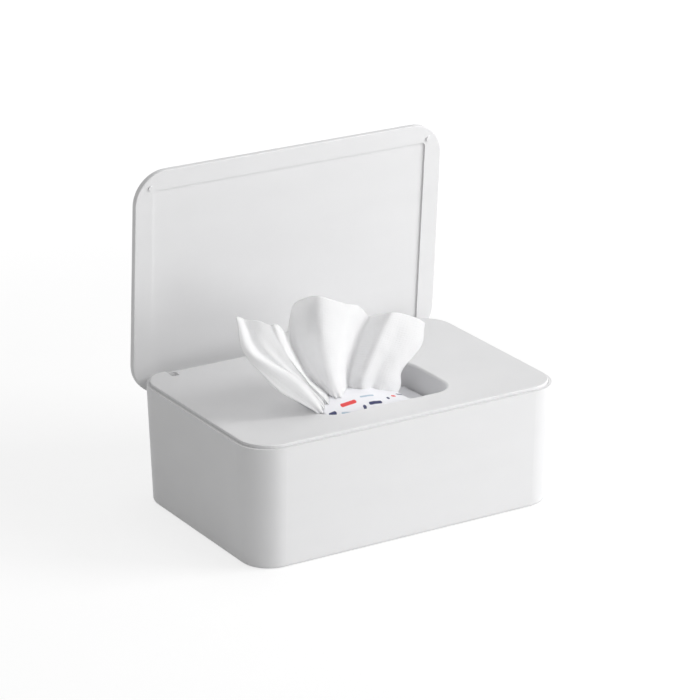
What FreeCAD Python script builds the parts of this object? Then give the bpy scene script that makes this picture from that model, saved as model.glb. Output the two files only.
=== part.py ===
"""A lidded countertop box for wet wipes, drawn with its lid open and a wipe pulled up.

Millimetres, +Z up, +X to the right, +Y to the rear. The origin is the middle of the underside.
"""
import FreeCAD, Part
import math
import os

import Sketcher
from FreeCAD import Placement, Rotation, Vector

# Driving sizes, kept in the document's sheet
SIZES = {
    # box
    "body_width": 190.0,
    "body_depth": 128.0,
    "rim_height": 66.8,
    "corner_radius": 19.0,
    "wall_draft": 2.45,
    "wall_thickness": 2.6,
    "foot_rounding": 2.2,
    "rim_lip": 1.65,
    # inner cover
    "seam_gap": 0.25,
    "deck_thickness": 2.4,
    "deck_seat_depth": 0.7,
    "deck_rounding": 0.5,
    "locating_depth": 6.0,
    "locating_wall": 1.6,
    "locating_gap": 0.45,
    # dispensing opening
    "opening_width": 80.5,
    "opening_depth": 52.0,
    "opening_radius": 12.0,
    "opening_set_forward": 15.1,
    "throat_depth": 15.0,
    "throat_wall": 1.8,
    "throat_rounding": 1.4,
    # hinge
    "hinge_set_forward": 7.2,
    "hinge_drop": 7.95,
    "hinge_end_gap": 3.0,
    "pin_radius": 1.5,
    "pin_running_gap": 0.05,
    "pin_end_gap": 0.5,
    "pin_chamfer": 0.4,
    "barrel_radius": 2.6,
    "flange_thickness": 2.0,
    "flange_front": 1.3,
    "flange_fillet": 0.9,
    "hinge_notch_width": 4.4,
    "hinge_notch_reach": 4.8,
    "hinge_side_gap": 0.5,
    "socket_radius": 3.0,
    "socket_width": 3.4,
    "sweep_gap": 0.25,
    "bay_side_gap": 2.0,
    "stop_gap": 0.2,
    # lid
    "lid_inset": 0.3,
    "lid_thickness": 4.0,
    "lid_gap": 1.0,
    "lid_rounding": 1.4,
    "lid_inner_rounding": 0.6,
    "lid_band": 10.5,
    "lid_recess": 1.0,
    "lid_recess_corner": 2.5,
    "lid_open_angle": 85.8,
    "rest_pip_radius": 1.3,
    "rest_pip_height": 0.7,
    "rest_pip_inset": 8.9,
    # refill pouch
    "pouch_side_gap": 8.95,
    "pouch_face_gap": 5.95,
    "pouch_head_gap": 3.6,
    "pouch_corner": 10.0,
    "pouch_end_taper": 11.0,
    "pouch_film": 1.2,
    "pouch_lift": 0.3,
    "fin_length": 7.0,
    "fin_thickness": 1.2,
    "tent_below_deck": 0.5,
    "tent_lean": 4.0,
    "tent_left_gap": 1.4,
    "tent_right_gap": 21.75,
    "tent_front_gap": 2.2,
    "tent_rear_gap": 17.4,
    "ridge_corner": 5.0,
    "exit_slot_gap": 0.5,
    # folded wipes
    "stack_end_gap": 1.5,
    "stack_head_gap": 5.0,
    "fold_gap": 0.2,
    "fold_slit": 0.2,
    "fold_count": 28,
    # pulled wipe, section by section from its tail to its free edge
    "wipe_thickness": 2.4,
    "crest_count": 5,
    "tail_width": 25.0,
    "tail_wave": 0.9,
    "tail_gap": 3.8,
    "gather_inset": 11.0,
    "gather_wave": 1.0,
    "gather_rise": 0.4,
    "fan_width": 62.0,
    "fan_wave": 4.0,
    "fan_rise": 4.5,
    "fan_set_left": 12.0,
    "skirt_width": 80.0,
    "skirt_wave": 7.0,
    "skirt_rise": 12.0,
    "skirt_set_left": 16.0,
    "wing_width": 102.0,
    "wing_wave": 9.0,
    "wing_rise": 25.0,
    "wing_set_left": 17.0,
    "free_edge_width": 118.0,
    "free_edge_wave": 10.5,
    "free_edge_rise": 58.5,
    "free_edge_set_left": 22.5,
    # shared
    "cut_overrun": 3.0,
    "soft_gap": 0.4,
}

# Shares, which hold at any size
same_place_share = 0.001
mouth_reach_share = 0.5
flange_root_share = 0.25
crest_share = 0.4
fold_edge_share = 0.3
# The pulled wipe's free edge from left to right: shares of its width and of its rise
free_edge_shares = [(0.0, 0.95), (0.17, 0.90), (0.29, 0.76), (0.31, 0.96), (0.39, 1.0), (0.48, 0.98),
                    (0.68, 0.81), (0.72, 0.69), (0.84, 0.71), (1.0, 0.52)]

doc = FreeCAD.newDocument("wipes_box")
sheet = doc.addObject("Spreadsheet::Sheet", "sizes")
for row, (name, number) in enumerate(SIZES.items(), start=1):
    sheet.set(f"A{row}", name)
    sheet.set(f"B{row}", str(number))
    sheet.setAlias(f"B{row}", name)
doc.recompute()


class Size:
    """A size with its present value and the formula in the sheet's cells that gives it."""

    def __init__(self, value, formula):
        self.value = value
        self.formula = formula

    @staticmethod
    def of(other):
        return other if isinstance(other, Size) else Size(other, repr(other))

    def __add__(self, other):
        other = Size.of(other)
        return Size(self.value + other.value, f"({self.formula} + {other.formula})")

    def __sub__(self, other):
        other = Size.of(other)
        return Size(self.value - other.value, f"({self.formula} - {other.formula})")

    def __mul__(self, other):
        other = Size.of(other)
        return Size(self.value * other.value, f"({self.formula} * {other.formula})")

    def __truediv__(self, other):
        other = Size.of(other)
        return Size(self.value / other.value, f"({self.formula} / {other.formula})")

    def __neg__(self):
        return Size(-self.value, f"(0 - {self.formula})")

    __radd__ = __add__
    __rmul__ = __mul__


def size(name):
    """The sheet's cell of that name."""
    return Size(float(sheet.get(name)), f"sizes.{name}")


zero = Size(0.0, "0")


def bind(thing, path, amount):
    """Tie a property or constraint of a feature to its formula."""
    thing.setExpression(path, amount.formula)


# Helpers for the features

def new_body(label):
    body = doc.addObject("PartDesign::Body", label)
    body.Label = label
    return body


def origin_plane(body, role):
    return next(item for item in body.Origin.OriginFeatures if item.Role == role)


def new_sketch(body, name, role, lift=None, across=None, along=None):
    """A sketch on one of the body's origin planes, moved off it and along it by sizes."""
    sketch = body.newObject("Sketcher::SketchObject", name)
    sketch.AttachmentSupport = [(origin_plane(body, role), "")]
    sketch.MapMode = "FlatFace"
    for axis, amount in (("x", across), ("y", along), ("z", lift)):
        if amount is not None:
            bind(sketch, f"AttachmentOffset.Base.{axis}", amount)
    return sketch


def rounded_rectangle(sketch, width, depth, radius):
    """A rectangle with round corners, centred on the sketch's origin."""
    half_w, half_d, r = width.value / 2, depth.value / 2, radius.value
    flat_w, flat_d = half_w - r, half_d - r
    first = sketch.GeometryCount
    corners = [(flat_w, -half_d), (half_w, -flat_d), (half_w, flat_d), (flat_w, half_d),
               (-flat_w, half_d), (-half_w, flat_d), (-half_w, -flat_d), (-flat_w, -half_d)]
    points = [Vector(x, y, 0) for x, y in corners]
    centres = [Vector(flat_w, -flat_d, 0), Vector(flat_w, flat_d, 0),
               Vector(-flat_w, flat_d, 0), Vector(-flat_w, -flat_d, 0)]
    for turn in range(4):
        circle = Part.Circle(centres[turn], Vector(0, 0, 1), r)
        start = math.radians(90 * turn - 90)
        sketch.addGeometry(Part.ArcOfCircle(circle, start, start + math.radians(90)))
        sketch.addGeometry(Part.LineSegment(points[2 * turn + 1], points[(2 * turn + 2) % 8]))
    arc = [first + 2 * turn for turn in range(4)]
    line = [first + 2 * turn + 1 for turn in range(4)]
    for turn in range(4):
        sketch.addConstraint(Sketcher.Constraint("Tangent", arc[turn], 2, line[turn], 1))
        sketch.addConstraint(Sketcher.Constraint("Tangent", line[turn], 2, arc[(turn + 1) % 4], 1))
    for side, kind in ((0, "Vertical"), (1, "Horizontal"), (2, "Vertical"), (3, "Horizontal")):
        sketch.addConstraint(Sketcher.Constraint(kind, line[side]))
    for turn in (1, 2, 3):
        sketch.addConstraint(Sketcher.Constraint("Equal", arc[0], arc[turn]))
    sketch.addConstraint(Sketcher.Constraint("Symmetric", arc[0], 3, arc[2], 3, -1, 1))
    across = sketch.addConstraint(Sketcher.Constraint("Distance", line[0], 1, line[2], width.value))
    along = sketch.addConstraint(Sketcher.Constraint("Distance", line[1], 1, line[3], depth.value))
    bend = sketch.addConstraint(Sketcher.Constraint("Radius", arc[0], r))
    bind(sketch, f"Constraints[{across}]", width)
    bind(sketch, f"Constraints[{along}]", depth)
    bind(sketch, f"Constraints[{bend}]", radius)


def polygon(sketch, corners):
    """A closed outline of straight lines through (x, y) sizes."""
    first = sketch.GeometryCount
    count = len(corners)
    places = [Vector(x.value, y.value, 0) for x, y in corners]
    for index in range(count):
        sketch.addGeometry(Part.LineSegment(places[index], places[(index + 1) % count]))
    for index in range(count):
        following = first + (index + 1) % count
        sketch.addConstraint(Sketcher.Constraint("Coincident", first + index, 2, following, 1))
    for index, (x, y) in enumerate(corners):
        pin_point(sketch, first + index, 1, x, y)


def cut_rectangle(sketch, width, depth, cut):
    """A rectangle with its corners cut off at 45 degrees, centred on the sketch's origin."""
    half_w, half_d = width / 2, depth / 2
    flat_w, flat_d = half_w - cut, half_d - cut
    polygon(sketch, [(flat_w, -half_d), (half_w, -flat_d), (half_w, flat_d), (flat_w, half_d),
                     (-flat_w, half_d), (-half_w, flat_d), (-half_w, -flat_d), (-flat_w, -half_d)])


def pin_point(sketch, geometry, end, x, y):
    """Hold one point of a sketch at its two sizes from the sketch's origin."""
    for kind, amount in (("DistanceX", x), ("DistanceY", y)):
        place = sketch.addConstraint(Sketcher.Constraint(kind, -1, 1, geometry, end, amount.value))
        bind(sketch, f"Constraints[{place}]", amount)


def circle(sketch, x, y, radius):
    """A full circle about a point given by two sizes."""
    ring = sketch.addGeometry(Part.Circle(Vector(x.value, y.value, 0), Vector(0, 0, 1), radius.value))
    pin_point(sketch, ring, 3, x, y)
    bend = sketch.addConstraint(Sketcher.Constraint("Radius", ring, radius.value))
    bind(sketch, f"Constraints[{bend}]", radius)


def grow(body, kind, name, sketch, length, backwards=False, both_ways=False):
    """A Pad or Pocket of a sketch by a size."""
    before = body.Tip.Shape.Volume if body.Tip else 0
    feature = body.newObject(f"PartDesign::{kind}", name)
    feature.Profile = sketch
    feature.SideType = "Symmetric" if both_ways else "One side"
    feature.Reversed = backwards
    bind(feature, "Length", length)
    doc.recompute()
    gained = feature.Shape.Volume - before
    if (gained <= 0) if kind == "Pad" else (gained >= 0):
        raise RuntimeError(f"{name} leaves the volume as it was")
    return feature


def mirror_across(body, name, originals):
    """The same features on the other side of the box's middle."""
    feature = body.newObject("PartDesign::Mirrored", name)
    feature.Originals = originals
    feature.MirrorPlane = (origin_plane(body, "YZ_Plane"), [""])
    body.Tip = feature
    doc.recompute()
    return feature


def edges_where(feature, test):
    """Names of the edges whose every sampled point passes the test."""
    names = []
    for index, edge in enumerate(feature.Shape.Edges, start=1):
        if all(test(point) for point in edge.discretize(5)):
            names.append(f"Edge{index}")
    return names


def faces_where(feature, test):
    """Names of the faces that pass the test."""
    return [f"Face{index}" for index, face in enumerate(feature.Shape.Faces, start=1) if test(face)]


def is_level(face):
    return near(face.BoundBox.ZMin, face.BoundBox.ZMax)


def round_edges(body, name, base, edges, radius):
    feature = body.newObject("PartDesign::Fillet", name)
    feature.Base = (base, edges)
    bind(feature, "Radius", radius)
    doc.recompute()
    return feature


def near(first, second):
    return abs(first - second) < same_place_share * size("wall_thickness").value


# Sizes that several pieces share
width = size("body_width")
depth = size("body_depth")
rim = size("rim_height")
wall = size("wall_thickness")
draft = size("wall_draft")
corner = size("corner_radius")
overrun = size("cut_overrun")
ledge = rim - size("deck_seat_depth")
deck_top = ledge + size("deck_thickness")
deck_inset = size("rim_lip") + size("seam_gap")
hinge_y = depth / 2 - size("hinge_set_forward")
hinge_z = deck_top - size("hinge_drop")
half_hinge = width / 2 - corner - size("hinge_end_gap")
lid_clear = size("hinge_drop") + size("lid_gap")
sweep_radius = lid_clear - size("sweep_gap")
flange_back = size("flange_front") + size("flange_thickness")
notch_inner = half_hinge + size("hinge_side_gap")
notch_outer = notch_inner + size("hinge_notch_width")
opening_y = -size("opening_set_forward")
film = size("pouch_film")
pouch_floor = wall + size("pouch_lift")
pouch_top = deck_top - size("throat_depth") - size("pouch_head_gap")
pouch_w = width - (wall + draft + size("pouch_side_gap")) * 2
pouch_d = depth - (wall + draft + size("pouch_face_gap")) * 2
half_hollow = pouch_w / 2 - size("fin_length") - size("pouch_end_taper")
stack_top = pouch_top - film - size("stack_head_gap")
ridge_top = deck_top - size("tent_below_deck")
tent_x = (size("tent_left_gap") - size("tent_right_gap")) / 2
tent_y = opening_y + (size("tent_front_gap") - size("tent_rear_gap")) / 2
tent_w = size("opening_width") - size("tent_left_gap") - size("tent_right_gap")
tent_d = size("opening_depth") - size("tent_front_gap") - size("tent_rear_gap")
ridge_w, ridge_d = tent_w - size("tent_lean") * 2, tent_d - size("tent_lean") * 2
gather_w = ridge_w - size("gather_inset") * 2


def hinge_relief(body, name, out_to, up_to):
    """Cut away what lies behind and above the path of the lid's underside, round the hinge axis."""
    sketch = new_sketch(body, f"{name}_outline", "YZ_Plane", across=hinge_y, along=hinge_z)
    r = sweep_radius.value
    arc = sketch.addGeometry(Part.ArcOfCircle(
        Part.Circle(Vector(0, 0, 0), Vector(0, 0, 1), r), 0, math.radians(90)))
    corners = [Vector(0, r, 0), Vector(0, up_to.value, 0), Vector(out_to.value, up_to.value, 0),
               Vector(out_to.value, 0, 0), Vector(r, 0, 0)]
    for start, end in zip(corners, corners[1:]):
        sketch.addGeometry(Part.LineSegment(start, end))
    for first in range(arc + 1, arc + 4):
        sketch.addConstraint(Sketcher.Constraint("Coincident", first, 2, first + 1, 1))
    sketch.addConstraint(Sketcher.Constraint("Coincident", arc, 2, arc + 1, 1))
    sketch.addConstraint(Sketcher.Constraint("Coincident", arc, 1, arc + 4, 2))
    sketch.addConstraint(Sketcher.Constraint("Coincident", arc, 3, -1, 1))
    sketch.addConstraint(Sketcher.Constraint("Vertical", arc + 1))
    sketch.addConstraint(Sketcher.Constraint("PointOnObject", arc + 1, 1, -2))
    sketch.addConstraint(Sketcher.Constraint("Horizontal", arc + 4))
    sketch.addConstraint(Sketcher.Constraint("PointOnObject", arc, 1, -1))
    bend = sketch.addConstraint(Sketcher.Constraint("Radius", arc, r))
    bind(sketch, f"Constraints[{bend}]", sweep_radius)
    pin_point(sketch, arc + 2, 2, out_to, up_to)
    sketch.addConstraint(Sketcher.Constraint("Horizontal", arc + 2))
    sketch.addConstraint(Sketcher.Constraint("Vertical", arc + 3))
    return grow(body, "Pocket", name, sketch, width + overrun, both_ways=True)


# The box

def make_body_shell():
    body = new_body("body_shell")
    outline = new_sketch(body, "rim_outline", "XY_Plane", lift=rim)
    rounded_rectangle(outline, width, depth, corner)
    block = grow(body, "Pad", "block", outline, rim, backwards=True)

    tapered = body.newObject("PartDesign::Draft", "drafted_block")
    tapered.Base = (block, faces_where(block, lambda face: not is_level(face)))
    tapered.NeutralPlane = (block, faces_where(block, lambda face: near(face.BoundBox.ZMin, rim.value)))
    tapered.Reversed = True
    tapered.setExpression("Angle", f"atan({draft.formula} / {rim.formula})")
    doc.recompute()

    hollow = body.newObject("PartDesign::Thickness", "hollow")
    hollow.Base = (tapered, faces_where(tapered, lambda face: near(face.BoundBox.ZMin, rim.value)))
    hollow.Reversed = True
    bind(hollow, "Value", wall)
    doc.recompute()

    foot = edges_where(hollow, lambda point: near(point.z, 0))
    round_edges(body, "foot_edge", hollow, foot, size("foot_rounding"))

    lip = size("rim_lip")
    seat = new_sketch(body, "seat_outline", "XY_Plane", lift=ledge)
    rounded_rectangle(seat, width - lip * 2, depth - lip * 2, corner - lip)
    grow(body, "Pocket", "deck_seat", seat, rim - ledge + overrun, backwards=True)

    half_bay = half_hinge + size("bay_side_gap")
    bay_front = depth / 2 - wall - overrun
    bay_back = depth / 2 + overrun
    bay = new_sketch(body, "hinge_bay_outline", "XY_Plane", lift=stop_height())
    polygon(bay, [(-half_bay, bay_front), (half_bay, bay_front),
                  (half_bay, bay_back), (-half_bay, bay_back)])
    grow(body, "Pocket", "hinge_bay", bay, rim - stop_height() + overrun, backwards=True)
    hinge_relief(body, "lid_sweep_relief", size("hinge_set_forward") + overrun, rim - hinge_z + overrun)
    return body


def stop_height():
    """The height of the rear wall's sill, where the opened lid's flange comes to rest."""
    angle = f"{size('lid_open_angle').formula} * 1 deg"
    turn = math.radians(size("lid_open_angle").value)
    sine = Size(math.sin(turn), f"sin({angle})")
    cosine = Size(math.cos(turn), f"cos({angle})")
    wall_reach = size("hinge_set_forward") - wall
    along_flange = (wall_reach - flange_back * cosine) / sine
    return hinge_z - flange_back * sine + along_flange * cosine - size("stop_gap")


# The inner cover

def make_deck_cover():
    body = new_body("deck_cover")
    plate = new_sketch(body, "plate_outline", "XY_Plane", lift=ledge)
    rounded_rectangle(plate, width - deck_inset * 2, depth - deck_inset * 2, corner - deck_inset)
    slab = grow(body, "Pad", "plate", plate, size("deck_thickness"))

    rim_edges = edges_where(slab, lambda point: near(point.z, deck_top.value))
    round_edges(body, "plate_edge", slab, rim_edges, size("deck_rounding"))

    skirt_out = wall + size("locating_gap")
    skirt_in = skirt_out + size("locating_wall")
    skirt = new_sketch(body, "locating_outline", "XY_Plane", lift=ledge)
    rounded_rectangle(skirt, width - skirt_out * 2, depth - skirt_out * 2, corner - skirt_out)
    rounded_rectangle(skirt, width - skirt_in * 2, depth - skirt_in * 2, corner - skirt_in)
    grow(body, "Pad", "locating_skirt", skirt, size("locating_depth"), backwards=True)

    throat_wall = size("throat_wall")
    mouth_w, mouth_d = size("opening_width"), size("opening_depth")
    mouth_r = size("opening_radius")
    neck = new_sketch(body, "throat_outline", "XY_Plane", lift=ledge, along=opening_y)
    rounded_rectangle(neck, mouth_w + throat_wall * 2, mouth_d + throat_wall * 2, mouth_r + throat_wall)
    grow(body, "Pad", "throat", neck, size("throat_depth") - size("deck_thickness"), backwards=True)
    mouth = new_sketch(body, "opening_outline", "XY_Plane", lift=deck_top, along=opening_y)
    rounded_rectangle(mouth, mouth_w, mouth_d, mouth_r)
    cut = grow(body, "Pocket", "dispensing_opening", mouth, size("throat_depth") + overrun)

    beyond = mouth_reach_share * throat_wall.value
    reach_x, reach_y = mouth_w.value / 2 + beyond, mouth_d.value / 2 + beyond

    def on_mouth(point):
        inside = abs(point.x) < reach_x and abs(point.y - opening_y.value) < reach_y
        return inside and near(point.z, deck_top.value)

    round_edges(body, "mouth_edge", cut, edges_where(cut, on_mouth), size("throat_rounding"))

    front_of_hinge = hinge_y - size("hinge_notch_reach")
    rear_edge = hinge_y + size("flange_front") - size("hinge_side_gap")
    rear = depth / 2 + overrun
    slot = new_sketch(body, "hinge_cutout_outline", "XY_Plane", lift=deck_top + overrun)
    polygon(slot, [(-notch_outer, rear), (-notch_outer, front_of_hinge),
                   (-notch_inner, front_of_hinge), (-notch_inner, rear_edge),
                   (notch_inner, rear_edge), (notch_inner, front_of_hinge),
                   (notch_outer, front_of_hinge), (notch_outer, rear)])
    cut_depth = size("deck_thickness") + size("locating_depth") + overrun * 2
    grow(body, "Pocket", "hinge_cutout", slot, cut_depth)

    socket = new_sketch(body, "socket_outline", "YZ_Plane", notch_outer, hinge_y, hinge_z)
    socket_profile(socket, size("socket_radius"), ledge - hinge_z)
    circle(socket, zero, zero, size("pin_radius") + size("pin_running_gap"))
    ear = grow(body, "Pad", "hinge_socket", socket, size("socket_width"))
    mirror_across(body, "hinge_sockets", [ear])
    hinge_relief(body, "lid_sweep_relief", size("hinge_set_forward") + overrun, size("hinge_drop") + overrun)
    return body


def socket_profile(sketch, radius, rise):
    """An ear with a round end about the sketch's origin, and straight sides up to a height."""
    r = radius.value
    arc = sketch.addGeometry(Part.ArcOfCircle(
        Part.Circle(Vector(0, 0, 0), Vector(0, 0, 1), r), math.radians(180), math.radians(360)))
    sketch.addGeometry(Part.LineSegment(Vector(r, 0, 0), Vector(r, rise.value, 0)))
    sketch.addGeometry(Part.LineSegment(Vector(r, rise.value, 0), Vector(-r, rise.value, 0)))
    sketch.addGeometry(Part.LineSegment(Vector(-r, rise.value, 0), Vector(-r, 0, 0)))
    sketch.addConstraint(Sketcher.Constraint("Coincident", arc, 3, -1, 1))
    sketch.addConstraint(Sketcher.Constraint("Tangent", arc, 2, arc + 1, 1))
    sketch.addConstraint(Sketcher.Constraint("Coincident", arc + 1, 2, arc + 2, 1))
    sketch.addConstraint(Sketcher.Constraint("Coincident", arc + 2, 2, arc + 3, 1))
    sketch.addConstraint(Sketcher.Constraint("Tangent", arc + 3, 2, arc, 1))
    sketch.addConstraint(Sketcher.Constraint("Horizontal", arc + 2))
    sketch.addConstraint(Sketcher.Constraint("Vertical", arc + 1))
    sketch.addConstraint(Sketcher.Constraint("Vertical", arc + 3))
    bend = sketch.addConstraint(Sketcher.Constraint("Radius", arc, r))
    bind(sketch, f"Constraints[{bend}]", radius)
    tall = sketch.addConstraint(Sketcher.Constraint("DistanceY", -1, 1, arc + 1, 2, rise.value))
    bind(sketch, f"Constraints[{tall}]", rise)


# The lid, drawn closed with its origin on the hinge axis, then turned open

def make_lid_shell():
    body = new_body("lid_shell")
    inset = size("lid_inset")
    lid_w, lid_d = width - inset * 2, depth - inset * 2
    middle = -hinge_y
    outline = new_sketch(body, "lid_outline", "XY_Plane", lift=lid_clear, along=middle)
    rounded_rectangle(outline, lid_w, lid_d, corner - inset)
    plate = grow(body, "Pad", "lid_plate", outline, size("lid_thickness"))

    top = lid_clear + size("lid_thickness")
    upper = edges_where(plate, lambda point: near(point.z, top.value))
    plate = round_edges(body, "outer_edge", plate, upper, size("lid_rounding"))
    lower = edges_where(plate, lambda point: near(point.z, lid_clear.value))
    round_edges(body, "inner_edge", plate, lower, size("lid_inner_rounding"))

    band = size("lid_band")
    panel = new_sketch(body, "recess_outline", "XY_Plane", lift=lid_clear, along=middle)
    rounded_rectangle(panel, lid_w - band * 2, lid_d - band * 2, size("lid_recess_corner"))
    grow(body, "Pocket", "lid_recess_panel", panel, size("lid_recess"), backwards=True)

    pip = new_sketch(body, "rest_pip_outline", "XY_Plane", lift=lid_clear)
    pip_x = lid_w / 2 - size("rest_pip_inset")
    pip_y = middle - lid_d / 2 + size("rest_pip_inset")
    circle(pip, pip_x, pip_y, size("rest_pip_radius"))
    stud = grow(body, "Pad", "rest_pip", pip, size("rest_pip_height"), backwards=True)
    mirror_across(body, "rest_pips", [stud])

    flange = new_sketch(body, "flange_outline", "YZ_Plane")
    flange_profile(flange)
    web = grow(body, "Pad", "hinge_flange", flange, half_hinge * 2, both_ways=True)
    flange_faces = (size("flange_front").value, flange_back.value)

    def at_root(point):
        return near(point.z, lid_clear.value) and any(near(point.y, face) for face in flange_faces)

    round_edges(body, "flange_root", web, edges_where(web, at_root), size("flange_fillet"))

    pin_end = notch_outer + size("socket_width") - size("pin_end_gap")
    pin = new_sketch(body, "pin_outline", "XZ_Plane")
    pin_r, bevel = size("pin_radius"), size("pin_chamfer")
    polygon(pin, [(half_hinge - bevel, zero), (pin_end, zero), (pin_end, pin_r - bevel),
                  (pin_end - bevel, pin_r), (half_hinge - bevel, pin_r)])
    peg = body.newObject("PartDesign::Revolution", "hinge_pin")
    peg.Profile = pin
    peg.ReferenceAxis = (pin, ["H_Axis"])
    doc.recompute()
    mirror_across(body, "hinge_pins", [peg])

    body.Placement = Placement(Vector(0, hinge_y.value, hinge_z.value),
                               Rotation(Vector(1, 0, 0), -size("lid_open_angle").value))
    bind(body, "Placement.Base.y", hinge_y)
    bind(body, "Placement.Base.z", hinge_z)
    bind(body, "Placement.Rotation.Angle", -size("lid_open_angle"))
    return body


def flange_profile(sketch):
    """A round barrel on the axis, run out into a straight web that meets the lid's underside."""
    r = size("barrel_radius").value
    front, back = size("flange_front").value, flange_back.value
    top = lid_clear + size("lid_thickness") * flange_root_share
    foot_turn = math.acos(front / r)
    tail_turn = math.radians(360) - math.acos(r / back)
    start = Vector(front, r * math.sin(foot_turn), 0)
    low = Vector(back, 0, 0)
    arc = sketch.addGeometry(Part.ArcOfCircle(
        Part.Circle(Vector(0, 0, 0), Vector(0, 0, 1), r), foot_turn, tail_turn))
    tail = Vector(r * math.cos(tail_turn), r * math.sin(tail_turn), 0)
    sketch.addGeometry(Part.LineSegment(tail, low))
    sketch.addGeometry(Part.LineSegment(low, Vector(back, top.value, 0)))
    sketch.addGeometry(Part.LineSegment(Vector(back, top.value, 0), Vector(front, top.value, 0)))
    sketch.addGeometry(Part.LineSegment(Vector(front, top.value, 0), start))
    sketch.addConstraint(Sketcher.Constraint("Coincident", arc, 3, -1, 1))
    sketch.addConstraint(Sketcher.Constraint("Tangent", arc, 2, arc + 1, 1))
    for line in range(arc + 1, arc + 4):
        sketch.addConstraint(Sketcher.Constraint("Coincident", line, 2, line + 1, 1))
    sketch.addConstraint(Sketcher.Constraint("Coincident", arc + 4, 2, arc, 1))
    sketch.addConstraint(Sketcher.Constraint("PointOnObject", arc + 1, 2, -1))
    bend = sketch.addConstraint(Sketcher.Constraint("Radius", arc, r))
    bind(sketch, f"Constraints[{bend}]", size("barrel_radius"))
    sketch.addConstraint(Sketcher.Constraint("Vertical", arc + 2))
    sketch.addConstraint(Sketcher.Constraint("Vertical", arc + 4))
    sketch.addConstraint(Sketcher.Constraint("Horizontal", arc + 3))
    pin_point(sketch, arc + 2, 2, flange_back, top)
    reach = sketch.addConstraint(Sketcher.Constraint("DistanceX", -1, 1, arc + 3, 2, front))
    bind(sketch, f"Constraints[{reach}]", size("flange_front"))


# The refill pack

def make_film_pouch():
    """A pillow of film with a flat fin at each end, and a tent that rises into the opening."""
    body = new_body("film_pouch")
    pouch_h, bend = pouch_top - pouch_floor, size("pouch_corner")
    fin_low, fin_high = (pouch_h - size("fin_thickness")) / 2, (pouch_h + size("fin_thickness")) / 2
    fin_end = pouch_w / 2
    fin_root = fin_end - size("fin_length")
    side = new_sketch(body, "pillow_outline", "XZ_Plane", along=pouch_floor)
    polygon(side, [(-half_hollow, zero), (half_hollow, zero), (fin_root, fin_low),
                   (fin_end, fin_low), (fin_end, fin_high), (fin_root, fin_high),
                   (half_hollow, pouch_h), (-half_hollow, pouch_h), (-fin_root, fin_high),
                   (-fin_end, fin_high), (-fin_end, fin_low), (-fin_root, fin_low)])
    pillow = grow(body, "Pad", "pillow", side, pouch_d, both_ways=True)

    def on_long_edge(point):
        level = near(point.z, pouch_floor.value) or near(point.z, pouch_top.value)
        return level and near(abs(point.y), pouch_d.value / 2)

    softened = body.newObject("PartDesign::Chamfer", "long_edges")
    softened.Base = (pillow, edges_where(pillow, on_long_edge))
    bind(softened, "Size", bend)
    doc.recompute()

    lean, tall = size("tent_lean"), ridge_top - pouch_top + film / 2
    ridge_cut = size("ridge_corner")
    foot = new_sketch(body, "tent_foot", "XY_Plane", pouch_top - film / 2, tent_x, tent_y)
    cut_rectangle(foot, tent_w, tent_d, ridge_cut + lean)
    tent = grow(body, "Pad", "tent", foot, tall)
    tent.setExpression("TaperAngle", f"-1 * atan({lean.formula} / {tall.formula})")
    doc.recompute()

    inside = new_sketch(body, "pillow_inside", "YZ_Plane", along=pouch_floor + pouch_h / 2)
    cut_rectangle(inside, pouch_d - film * 2, pouch_h - film * 2, bend)
    grow(body, "Pocket", "pillow_hollow", inside, half_hollow * 2, both_ways=True)
    under_ridge = new_sketch(body, "tent_inside", "XY_Plane", ridge_top - film, tent_x, tent_y)
    cut_rectangle(under_ridge, ridge_w - film * 2, ridge_d - film * 2, ridge_cut)
    grow(body, "Pocket", "tent_hollow", under_ridge, ridge_top - pouch_top)
    gap = size("exit_slot_gap") * 2
    slot_w, slot_d = gather_w + gap, size("wipe_thickness") + size("gather_wave") * 2 + gap
    slot = new_sketch(body, "exit_slot_outline", "XY_Plane", ridge_top, tent_x, tent_y)
    cut_rectangle(slot, slot_w, slot_d, size("gather_wave"))
    grow(body, "Pocket", "exit_slot", slot, film + overrun)
    return body


def make_wipe_stack():
    """Folded wipes, one over the other, with their folds to the front and to the rear in turn."""
    body = new_body("wipe_stack")
    lowest = pouch_floor + film + size("soft_gap")
    pitch = (stack_top - lowest) / size("fold_count")
    pair = [make_fold(body, "front_fold", -1, lowest, pitch - size("fold_gap")),
            make_fold(body, "rear_fold", 1, lowest + pitch, pitch - size("fold_gap"))]
    pairs = size("fold_count") / 2
    stack = body.newObject("PartDesign::LinearPattern", "stack")
    stack.Originals = pair
    stack.Direction = (origin_plane(body, "Z_Axis"), [""])
    bind(stack, "Length", pitch * 2 * (pairs - 1))
    bind(stack, "Occurrences", pairs)
    body.Tip = stack
    doc.recompute()
    return body


def make_fold(body, name, side, lowest, thick):
    """One folded wipe: two layers with a thin slit between them, joined along one edge."""
    fold = (pouch_d / 2 - size("pouch_corner") - film - size("soft_gap")) * side
    free = -fold
    bevel = thick * fold_edge_share
    slit_low, slit_high = (thick - size("fold_slit")) / 2, (thick + size("fold_slit")) / 2
    slit_end = fold - thick * side
    sketch = new_sketch(body, f"{name}_outline", "YZ_Plane", along=lowest)
    polygon(sketch, [(free, zero), (fold - bevel * side, zero), (fold, bevel), (fold, thick - bevel),
                     (fold - bevel * side, thick), (free, thick), (free, slit_high), (slit_end, slit_high),
                     (slit_end, slit_low), (free, slit_low)])
    return grow(body, "Pad", name, sketch, (half_hollow - size("stack_end_gap")) * 2, both_ways=True)


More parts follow.
